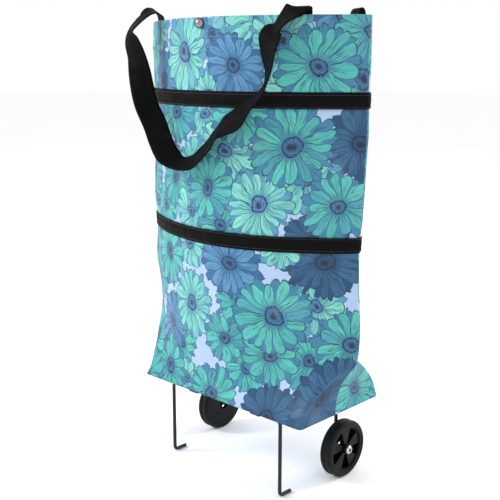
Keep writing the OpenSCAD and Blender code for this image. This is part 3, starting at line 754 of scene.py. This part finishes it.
def painted_wire(n, shader):
    at = coords(n)
    cloud = n.noise(at, 45.0, 4.0, 0.6)
    chips = n.step(n.noise(at, 150.0, 3.0, 0.7), 0.70, 0.74)
    tone = n.mix(cloud, rgb(6, 6, 7), rgb(17, 17, 18))
    tone = n.mix(n.math("MULTIPLY", chips, 0.5), tone, rgb(70, 68, 66))
    set_in(n, shader, color=tone, rough=n.step(cloud, 0.3, 0.7, 0.26, 0.42), spec=0.3, coat=0.1, coat_rough=0.3,
           normal=bump(n, n.noise(at, 500.0, 2.0), 0.1, 0.0003))


def rubber(n, shader):
    at = coords(n)
    cloud = n.noise(at, 30.0, 4.0, 0.6)
    dust = n.step(n.noise(at, 90.0, 5.0, 0.7), 0.52, 0.75)
    tone = n.mix(cloud, rgb(7, 7, 7), rgb(16, 16, 17))
    tone = n.mix(n.math("MULTIPLY", dust, 0.2), tone, rgb(52, 51, 50))
    set_in(n, shader, color=tone, rough=n.step(cloud, 0.3, 0.7, 0.5, 0.68), spec=0.2,
           normal=bump(n, n.noise(at, 1400.0, 2.0), 0.25, 0.0002))


def thread(low, high):
    def build(n, shader):
        at = coords(n)
        twist = n.noise(at, 1800.0, 2.0)
        set_in(n, shader, color=n.mix(twist, low, high), rough=0.7, spec=0.3, sheen=0.3,
               normal=bump(n, twist, 0.5, 0.0002))
    return build


def board_finish(n, shader):
    at = coords(n)
    pits = n.noise(at, 420.0, 3.0, 0.6)
    tone = n.mix(n.noise(at, 22.0, 4.0), rgb(58, 59, 62), rgb(82, 83, 86))
    set_in(n, shader, color=tone, rough=n.step(pits, 0.3, 0.7, 0.55, 0.72), normal=bump(n, pits, 0.35, 0.0004))


def floor_finish(n, shader):
    at = coords(n)
    tone = n.mix(n.noise(at, 2.0, 3.0), rgb(249, 249, 249), rgb(254, 254, 254))
    set_in(n, shader, color=tone, rough=0.75, spec=0.2)


LINING = material("lining", lining)
RIM_FOLD = material("rim_fold", rim_fold)
PRINTS = {k: print_cloth(k) for k in PRINT}
TAPE = material("tape_cloth", dark_cloth(rgb(2, 2, 2), rgb(19, 18, 18), 0.55, 0.72))
WEBBING = material("webbing_cloth", dark_cloth(rgb(0, 0, 0), rgb(15, 15, 16), 0.55, 0.75, 0.0016, True))
TEETH = material("teeth", plastic(rgb(8, 8, 8), rgb(22, 22, 23), 0.35))
PALE_THREAD = material("pale_thread", thread(rgb(112, 158, 168), rgb(150, 192, 198)))
DARK_THREAD = material("dark_thread", thread(rgb(8, 8, 9), rgb(24, 24, 26)))
FINISHES = {
    "snap_metal": material("snap_steel", metal(rgb(120, 114, 110), rgb(176, 170, 166), 0.24)),
    "slider_metal": material("slider_steel", metal(rgb(120, 120, 122), rgb(170, 170, 172), 0.26)),
    "nut_metal": material("nut_steel", metal(rgb(170, 170, 172), rgb(222, 222, 224), 0.18)),
    "rivet_metal": material("rivet_steel", metal(rgb(150, 150, 150), rgb(196, 196, 198), 0.28)),
    "frame_wire": material("painted_wire", painted_wire),
    "clip_plastic": material("clip_plastic", plastic(rgb(8, 8, 9), rgb(20, 20, 21), 0.42)),
    "hub_plastic": material("hub_plastic", plastic(rgb(3, 3, 3), rgb(10, 10, 11), 0.36)),
    "tyre_rubber": material("tyre_rubber", rubber),
    "board": material("board", board_finish),
    "zip_teeth": TEETH,
}


SNAP_RIM = material("snap_rim", metal(rgb(24, 23, 23), rgb(44, 42, 42), 0.3))


def under_cloth(n, shader):
    at = coords(n)
    threads = weave(n, at, 0.0011)
    tone = n.mix(n.noise(at, 26.0, 3.0), rgb(92, 132, 176), rgb(120, 160, 200))
    tone = n.mix(n.math("MULTIPLY", threads, 0.15), tone, rgb(60, 90, 130))
    set_in(n, shader, color=tone, rough=0.55, normal=bump(n, threads, 0.4, 0.0001))


FINISHES["base_cloth"] = material("under_cloth", under_cloth)


# ---------- build ----------
SNAP_PLACE = (9 * MM, 1.5 * MM)  # the front cap stands right of and above the CAD's
SNAP_SEAT = 1.9 * MM
CAP = [  # the snap cap: distance out in mm and share of its radius
    (-2.4, 0.5), (-1.6, 0.96), (0.2, 1), (0.9, 0.985), (1.3, 0.93), (1.35, 0.88), (1.2, 0.84), (1.6, 0.8), (2.4, 0.68),
    (3.1, 0.5), (3.5, 0.3), (3.7, 0.12), (3.7, 0.02),
]
CAP_RIM_BANDS = 6
HEM = 24.3 * MM
STITCH = 3.2 * MM


def join_up(o, node, body):
    """Says which CAD node a piece replaces, if any, and which body it rides."""
    if node:
        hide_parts(node)
    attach(o, body)


def around(z):
    p = wall(z, 0)
    return float(np.linalg.norm(np.diff(np.vstack([p, p[:1]]), axis=0), axis=1).sum())


def middle_z(node):
    return (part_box(node)[0].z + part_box(node)[1].z) / 2


def bag():
    lower = tier("lower_cloth", BASE_Z + 0.3 * MM, LOWER_TOP + 1.5 * MM, [PRINTS["lower"], LINING], foot=0.8)
    middle = tier("middle_cloth", LOWER_TAPE_TOP, MIDDLE_TOP, [PRINTS["middle"], LINING])
    upper = tier("upper_cloth", UPPER_TAPE_TOP - 1.5 * MM, RIM_Z, [PRINTS["upper"], LINING, RIM_FOLD], rim=True)
    low_tape = tape("lower_tape", LOWER_TOP, LOWER_TAPE_TOP, [TAPE, TAPE], 1)
    high_tape = tape("upper_tape", MIDDLE_TOP, UPPER_TAPE_TOP, [TAPE, TAPE], -1)
    low_coil = coil("lower_coil", middle_z("lower_zip_coil"), TEETH)
    high_coil = coil("upper_coil", middle_z("upper_zip_coil"), TEETH)
    floor_cloth = base_cloth([FINISHES["base_cloth"]])
    for o, node, body, slot in (
        (lower, "lower_tier", "bag_base", "print_cloth"), (middle, "middle_tier", "bag_base", "print_cloth"),
        (upper, "upper_tier", "bag_top", "print_cloth"), (low_tape, "lower_zip_tape", "bag_base", "zip_tape"),
        (high_tape, "upper_zip_tape", "bag_top", "zip_tape"), (low_coil, "lower_zip_coil", "bag_base", "zip_teeth"),
        (high_coil, "upper_zip_coil", "bag_top", "zip_teeth"), (floor_cloth, "bottom_panel", "bag_base", "base_cloth"),
    ):
        join_up(o, node, body)
    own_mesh(middle)
    for o, low, high, below in (
        (lower, BASE_Z, LOWER_TOP, "bottom_panel"), (middle, LOWER_TAPE_TOP, MIDDLE_TOP, "lower_tape"),
        (upper, UPPER_TAPE_TOP, RIM_Z, "upper_tape"),
    ):
        round(around((low + high) / 2), 3)
    for o, at, low, high, cloth in (
        (low_tape, LOWER_TOP, LOWER_TOP, LOWER_TAPE_TOP, "lower_cloth"),
        (high_tape, UPPER_TAPE_TOP, MIDDLE_TOP, UPPER_TAPE_TOP, "upper_cloth"),
    ):
        round(around(at), 3)
    snap_caps()
    sewing()


def snap_caps():
    """The domed caps; the front one is turned a little to the right."""
    for name, node, turn in (("snap_front", "snap_cap", 18), ("snap_back", "snap_stud_cap", 0)):
        a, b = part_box(node)
        r = (b.x - a.x) / 2
        at = ((a.x + b.x) / 2, a.y, (a.z + b.z) / 2)
        way = (0.0, 1.0, 0.0)
        if turn:
            way = (math.sin(math.radians(turn)), -math.cos(math.radians(turn)), 0.0)
            x, z = at[0] + SNAP_PLACE[0], at[2] + SNAP_PLACE[1]
            w = wall(z)[:M]
            at = (x, w[int(np.argmin(np.abs(w[:, 0] - x))), 1] - SNAP_SEAT, z)
        profile = [(out * MM, share * r) for out, share in CAP]
        bands = [int(k < CAP_RIM_BANDS) for k in range(len(CAP) - 1)]
        cap = lathe(name, at, way, profile, [FINISHES["snap_metal"], SNAP_RIM], which=bands)
        join_up(cap, node, "bag_top")


def sewing():
    """Stitches under the rim's fold and along both edges of each tape."""
    hem = stitches("rim_stitches", [ring_line(RIM_Z - HEM, 0.05 * MM, 3.3 * MM)], PALE_THREAD, 0.2)
    join_up(hem, None, "bag_top")
    for name, rows, body in (
        ("lower_tape_stitches", ((LOWER_TOP + 2.6 * MM, 1.6), (LOWER_TAPE_TOP - 1.6 * MM, 1.5)), "bag_base"),
        ("upper_tape_stitches", ((UPPER_TAPE_TOP - 2.6 * MM, 1.6), (MIDDLE_TOP + 1.6 * MM, 1.5)), "bag_top"),
    ):
        sewn = stitches(name, [ring_line(z, g * MM, STITCH) for z, g in rows], DARK_THREAD, 0.36)
        join_up(sewn, None, body)


def over_rim(x, half, rows, sign):
    """Strap rows at the rim near x on the front (0) or back (1) half.

    rows holds (distance outward from the wall's chord, height) in mm.
    """
    top = wall(RIM_Z - 1 * MM)[half * M:(half + 1) * M]
    i = int(np.clip(np.argmin(np.abs(top[:, 0] - x * MM)), 6, M - 7))
    out = []
    for off, z in rows:
        w = wall(min(z * MM, RIM_Z - 1 * MM))[half * M:(half + 1) * M]
        a, b = w[i - 6, :2], w[i + 6, :2]
        t = (b - a) / np.linalg.norm(b - a)
        p = (a + b) / 2 / MM + np.array([t[1], -t[0]]) * off
        out.append((p[0], p[1], z, sign * t[0], sign * t[1], 0))
    return out


# Straps in mm: middle point and the direction across the webbing.
# Most rows of FRONT follow a projection of the strap's edges picked in the photo, nudged one by one.
FRONT = over_rim(-109, 0, [(-3.9, 585), (-3.9, 606), (-3.8, 619), (-2.6, 626)], 1) + [
    (-108, -71.5, 630, .80, -.58, -.12), (-108, -78, 631.5, .73, -.62, -.26), (-108, -86, 630, .70, -.64, -.30),
    (-109, -95, 625, .80, -.53, -.24), (-116, -102.5, 616, .85, -.477, -.16), (-124, -105, 607, .873, -.44, .085),
    (-124, -106, 593, .98, -.12, .14), (-114, -106, 573, .985, .12, .11), (-107, -106, 548, .86, .5, .12),
    (-102, -106, 528, .72, .66, .20), (-94, -106, 507, .5, .82, .25), (-79, -106, 485, .62, .72, .3),
    (-67, -106, 462, .64, .68, .33), (-54, -106, 445, .40, .80, .44), (-34, -107, 437, -.41, .82, .38),
    (-7, -108, 440, -.73, .59, .33), (10, -108, 450, -.80, .56, .22), (27, -107, 465, -.86, .51, .04),
    (39, -107, 479, -.82, .58, -.01), (52, -107, 488, -.86, .40, .32), (72, -106, 497, -.87, .31, .39),
    (92, -106, 512, -.89, .45, .07), (106, -104, 524, -.83, .55, -.04), (115, -103, 535, -.78, .61, -.10),
    (118, -101, 545, -.75, .63, -.17), (120, -100, 560, -.85, .49, -.20), (118, -98, 577, -.96, .22, -.17),
    (117, -95, 590, -.99, -.07, -.13), (115, -90, 600, -.95, -.27, -.14), (121, -84, 607, -.97, .12, -.23),
    (123.5, -78, 613, -.99, .08, -.12), (126, -72, 619, -.98, -.05, -.04), (129, -66.5, 624.5, -.94, -.25, .02),
    (131.5, -61.5, 629, -.90, -.42, .0),
] + over_rim(131, 0, [(-2.6, 627), (-3.8, 619), (-3.9, 606), (-3.9, 585)], -1)
ARCH = [(-3.9, 585), (-3.9, 606), (-3.9, 619), (-3.3, 627), (-1.2, 631.5), (1.2, 633.3), (3.6, 630), (5.2, 621),
        (7.0, 609), (9.4, 596)]
LOW_ARCH = [(off, min(z, 629.6)) for off, z in ARCH]
BACK = [  # the right half between the rim and the lowest point
    (127, 79, 576, -.86, .49, -.05), (122, 84, 548, -.86, .47, -.1), (112, 90, 518, -.84, .45, -.2),
    (99, 95, 490, -.76, .4, -.42), (80, 100, 466, -.55, .28, -.72),
    (52, 104.5, 449, -.26, .16, -.93), (24, 106.5, 440, -.08, .12, -.98), (0, 107, 438, 0, .1, -.99),
]


def smooth_line(points, step):
    """A smooth curve through rows of numbers, sampled evenly by the first three."""
    p = np.asarray(points, float)
    p = np.vstack([2 * p[0] - p[1], p, 2 * p[-1] - p[-2]])
    out = []
    for k in range(1, len(p) - 2):
        a, b, c, d = p[k - 1:k + 3]
        for t in np.arange(0, 1, 0.05):
            out.append(0.5 * (2 * b + (c - a) * t + (2 * a - 5 * b + 4 * c - d) * t * t + (3 * b - a - 3 * c + d) * t ** 3))
    out = np.vstack([out, p[-2]])
    along = np.concatenate([[0], np.cumsum(np.linalg.norm(np.diff(out[:, :3], axis=0), axis=1))])
    at = np.linspace(0, along[-1], round(along[-1] / step) + 1)
    return np.stack([np.interp(at, along, out[:, k]) for k in range(out.shape[1])], 1), at


def ribbon(name, rows, width, thick, mat):
    """Webbing along rows of middle point and cross direction, in mm, with rounded edges and a slightly raised selvedge."""
    line, along = smooth_line(rows, 2.5)
    for _ in range(3):
        line[1:-1] = (line[:-2] + 2 * line[1:-1] + line[2:]) / 4
    c, v = line[:, :3], line[:, 3:]
    t = np.gradient(c, axis=0)
    t /= np.linalg.norm(t, axis=1)[:, None]
    v = v - (v * t).sum(1)[:, None] * t
    v /= np.linalg.norm(v, axis=1)[:, None]
    out = np.cross(t, v)
    half = []
    for s in np.linspace(-1, 1, 13):
        edge = abs(s)
        half.append((s * width / 2, thick / 2 * (1.12 if 0.78 < edge < 0.95 else (0.45 if edge > 0.99 else 1.0))))
    profile = half + [(a, -b) for a, b in half[::-1]]
    k = len(profile)
    verts = np.concatenate([c + v * a + out * b for a, b in profile]) * MM
    n = len(c)
    run = [0.0]
    for (a0, b0), (a1, b1) in zip(profile, profile[1:] + profile[:1]):
        run.append(run[-1] + math.hypot(a1 - a0, b1 - b0))
    faces, uvs = [], []
    for j in range(k):
        m = (j + 1) % k
        for i in range(n - 1):
            faces.append((j * n + i, m * n + i, m * n + i + 1, j * n + i + 1))
            uvs += [(along[i] * MM, run[j] * MM), (along[i] * MM, run[j + 1] * MM),
                    (along[i + 1] * MM, run[j + 1] * MM), (along[i + 1] * MM, run[j] * MM)]
    for i, flip in ((0, True), (n - 1, False)):
        f = [j * n + i for j in range(k)]
        faces.append(tuple(f[::-1] if flip else f))
        uvs += [(along[i] * MM, run[j] * MM) for j in (range(k - 1, -1, -1) if flip else range(k))]
    o = make(name, verts, faces, [mat], uvs=uvs)
    return o, (c * MM, v, out, along)


def bar_tacks(name, line, rows, mat):
    """Sewing through the webbing's end: a box with a cross in it."""
    c, v, out, along = line
    lines = []
    for flat in rows:
        pts, nrm = [], []
        for (s0, a0), (s1, a1) in zip(flat, flat[1:]):
            count = max(2, round(math.hypot((s1 - s0), (a1 - a0)) / 3.0))
            for q in range(count):
                s, a = s0 + (s1 - s0) * q / count, a0 + (a1 - a0) * q / count
                i = int(np.argmin(np.abs(along - a)))
                pts.append(c[i] + v[i] * s * MM)
                nrm.append(out[i])
        pts, nrm = np.array(pts), np.array(nrm)
        for side in (1, -1):
            lines.append((pts + nrm * side * 1.15 * MM, nrm * side))
    return stitches(name, lines, mat, 0.4, 2.2)


WEBBING_W, WEBBING_T = 32, 2.0  # mm
TACK_IN, TACK_NEAR, TACK_FAR = 12, 4, 26  # the sewn box at each end: half its width, its start and its end in mm
LEFT_IN, LEFT_FROM, LEFT_OVER = 12, 466, 134  # the back strap's left half hangs nearer the wall towards the rim


def reach(way, start, end):
    """Two points along way at which the blend from bag to handle starts and ends."""
    way = np.array(way)
    return {"start": way * start / (way @ way), "end": way * end / (way @ way)}


def handles():
    front, front_line = ribbon("front_webbing", FRONT, WEBBING_W, WEBBING_T, WEBBING)
    left = [(-x, y - LEFT_IN * max(0, (z - LEFT_FROM) / LEFT_OVER), z, -a, b, c) for x, y, z, a, b, c in BACK[-2::-1]]
    whole = over_rim(128, 1, ARCH, 1) + BACK + left + over_rim(-128, 1, LOW_ARCH[::-1], -1)
    back, back_line = ribbon("back_webbing", whole, WEBBING_W, WEBBING_T, WEBBING)
    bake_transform(front)
    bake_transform(back)
    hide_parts("front_handle", "front_handle_ends")
    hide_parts("back_handle", "back_handle_ends")
    w, near, far = TACK_IN, TACK_NEAR, TACK_FAR
    box = [[(-w, near), (w, near), (w, far), (-w, far), (-w, near), (w, far)], [(w, near), (-w, far)]]
    for name, o, line in (("front_sewing", front, front_line), ("back_sewing", back, back_line)):
        total = line[3][-1]
        tacks = bar_tacks(name, line, box + [[(s, total - a) for s, a in b] for b in box], DARK_THREAD)
        join_up(tacks, None, "bag_top")


def finish_cad_nodes():
    slots = {}
    for m in frame["record"]["materials"]:
        for node in m.get("nodes", []) or []:
            slots[node] = m["slot"]
    for name, o in frame["nodes"].items():
        if o.hide_render:
            continue
        slot = slots.get(name) or by_name(name)
        for s in o.material_slots:
            s.material = FINISHES[slot]
        if not o.material_slots:
            o.data.materials.append(FINISHES[slot])


BY_NAME = {
    "bottom_panel": "base_cloth", "base_board": "board", "slider": "slider_metal", "zip_pull": "zip_teeth",
    "zip_end_box": "zip_teeth", "snap": "snap_metal", "rivets": "rivet_metal", "clips": "clip_plastic",
    "wire": "frame_wire", "hub": "hub_plastic", "tyre": "tyre_rubber", "nut": "nut_metal",
}


def by_name(name):
    return next((slot for part, slot in BY_NAME.items() if part in name), "clip_plastic")


def studio():
    world = bpy.data.worlds.new("studio")
    world.use_nodes = True
    world.node_tree.nodes["Background"].inputs[0].default_value = (1, 1, 1, 1)
    world.node_tree.nodes["Background"].inputs[1].default_value = 1.0
    bpy.context.scene.world = world
    area_light("key", (-1.75, -1.75, 1.75), (0, 0, 0.36), 0.7, 44)
    area_light("fill", (1.9, -1.5, 1.2), (0, 0, 0.3), 1.4, 5)
    area_light("back", (0.9, 2.2, 1.7), (0, 0, 0.4), 1.2, 34)
    s, low = 14.0, -0.0003  # the floor's half width, and how far it lies below the feet
    corners = [(-s, -s, low), (s, -s, low), (s, s, low), (-s, s, low)]
    floor = make("floor", corners, [(0, 1, 2, 3)], [material("floor", floor_finish)], smooth=False)
    bpy.context.scene.view_settings.view_transform = "Standard"
    bpy.context.scene.view_settings.look = "None"


place_camera()
studio()
bag()
handles()
finish_cad_nodes()
